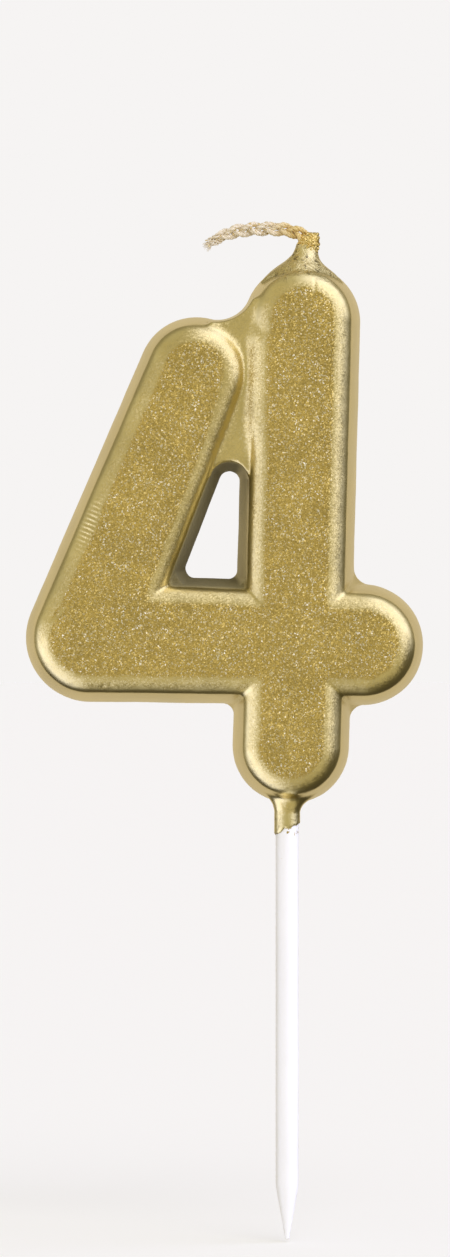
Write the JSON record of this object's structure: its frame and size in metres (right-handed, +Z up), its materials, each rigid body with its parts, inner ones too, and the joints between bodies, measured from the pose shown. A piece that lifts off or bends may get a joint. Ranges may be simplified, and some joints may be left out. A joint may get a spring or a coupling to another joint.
{
  "type": "number birthday candle",
  "caption": "Moulded wax figure 4 birthday candle in a sparkling gold coat, with a bent braided wick on top and a white plastic pick below for the cake.",
  "frame": {"origin": "on the pick's axis at the lower end of the wax neck, level with the top of the cake", "axes": "+Z up along the pick, the figure's flat face towards -Y, +X to the right as the 4 is read"},
  "size_m": [0.0443, 0.01, 0.113],
  "materials": {
    "wax": "plain paraffin wax, seen only where the coat is open",
    "gold_coat": "metallic gold lacquer, fine sandy sparkle on the flat face, smooth on the shoulders and sides",
    "gold_wax": "wax drawn out while soft and coated in the same gold, smooth with dark flecks",
    "pick_plastic": "white moulded plastic, semi-gloss",
    "wick_cotton": "waxed cotton braid with gold glitter caught in it"
  },
  "bodies": {
    "candle": {"wax_body": "wax", "gold_coat": "gold_coat", "wick_collar": "gold_wax", "pick_neck": "gold_wax", "pick": "pick_plastic", "wick_strand_1": "wick_cotton", "wick_strand_2": "wick_cotton", "wick_strand_3": "wick_cotton"},
    "wick_end": {"wick_tip_strand_1": "wick_cotton", "wick_tip_strand_2": "wick_cotton", "wick_tip_strand_3": "wick_cotton"}
  },
  "joints": [
    {"name": "wick_bend", "type": "hinge", "parent": "candle", "child": "wick_end", "pos_m": [0.0021, 0, 0.066], "axis": [0, 1, 0], "range_deg": [0, 75]}
  ]
}
